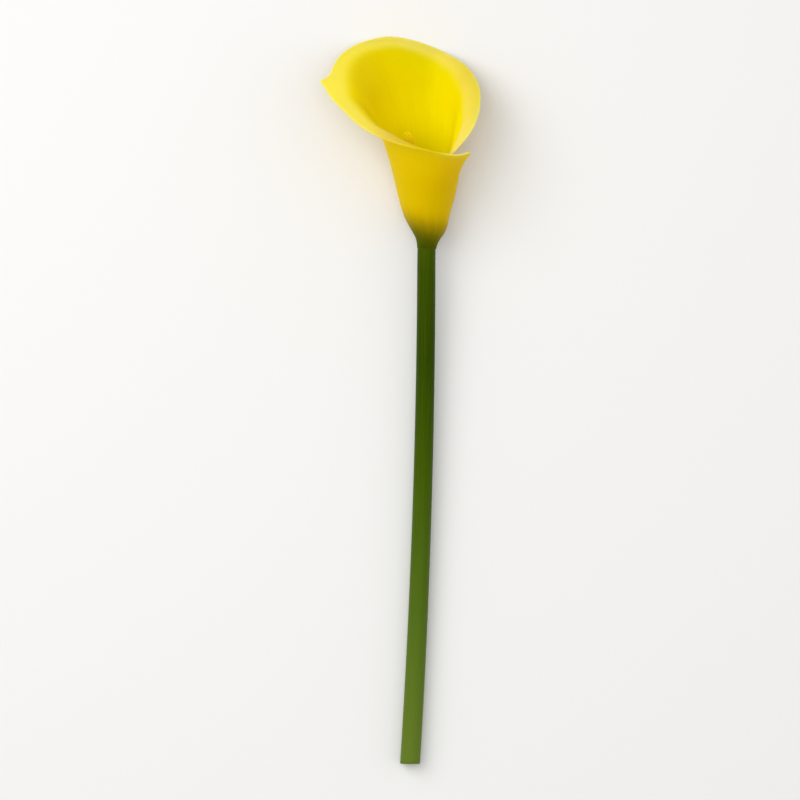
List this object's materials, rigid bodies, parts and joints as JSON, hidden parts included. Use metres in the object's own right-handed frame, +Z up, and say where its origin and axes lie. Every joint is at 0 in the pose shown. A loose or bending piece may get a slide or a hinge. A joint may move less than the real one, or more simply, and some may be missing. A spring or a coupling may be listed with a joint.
{
  "type": "arum lily flower",
  "caption": "Cut yellow arum lily lying on its back: a green stem, a rolled trumpet spathe with a pointed tip, and a slim spadix in its throat.",
  "frame": {"origin": "middle of the flower's box, on the surface that it lies on", "axes": "+Y along the flower from the stem's cut end to the mouth, +Z up from the surface, +X to the right of someone who looks down on it with the mouth at the top"},
  "size_m": [0.0692, 0.3118, 0.0457],
  "materials": {
    "stem_green": "satin",
    "spathe_yellow": "satin",
    "spadix_pollen": "matte"
  },
  "bodies": {
    "root": {"stem": "stem_green", "spathe": "spathe_yellow", "spadix": "spadix_pollen"}
  },
  "joints": []
}
